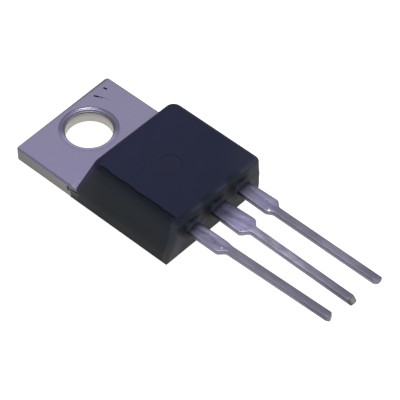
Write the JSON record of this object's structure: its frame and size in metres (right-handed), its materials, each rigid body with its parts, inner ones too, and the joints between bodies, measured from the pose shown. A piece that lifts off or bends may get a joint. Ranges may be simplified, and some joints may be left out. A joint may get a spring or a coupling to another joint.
{
  "type": "silicon controlled rectifier",
  "caption": "Thyristor in a flat tab package: plated metal tab with a mounting hole, dark moulded body and straight leads out of one end.",
  "frame": {"origin": "the mounting hole's axis at the tab's back face", "axes": "+X across the tab, +Y from the body to the tab's free edge, +Z from the back face to the marked face"},
  "size_m": [0.0099, 0.0286, 0.0043],
  "materials": {
    "plated_metal": "satin tin plating on copper, silver with a violet cast",
    "mould_compound": "matte blue-black epoxy moulding with a fine sparked grain",
    "solder": "dull solder",
    "silicon": "smooth dark grey silicon",
    "bond_wire": "drawn bright wire"
  },
  "bodies": {
    "root": {"header_and_anode_lead": "plated_metal", "moulded_body": "mould_compound", "cathode_lead": "plated_metal", "gate_lead": "plated_metal", "solder_layer": "solder", "silicon_die": "silicon", "cathode_wire_a": "bond_wire", "cathode_wire_b": "bond_wire", "gate_wire": "bond_wire"}
  },
  "joints": []
}
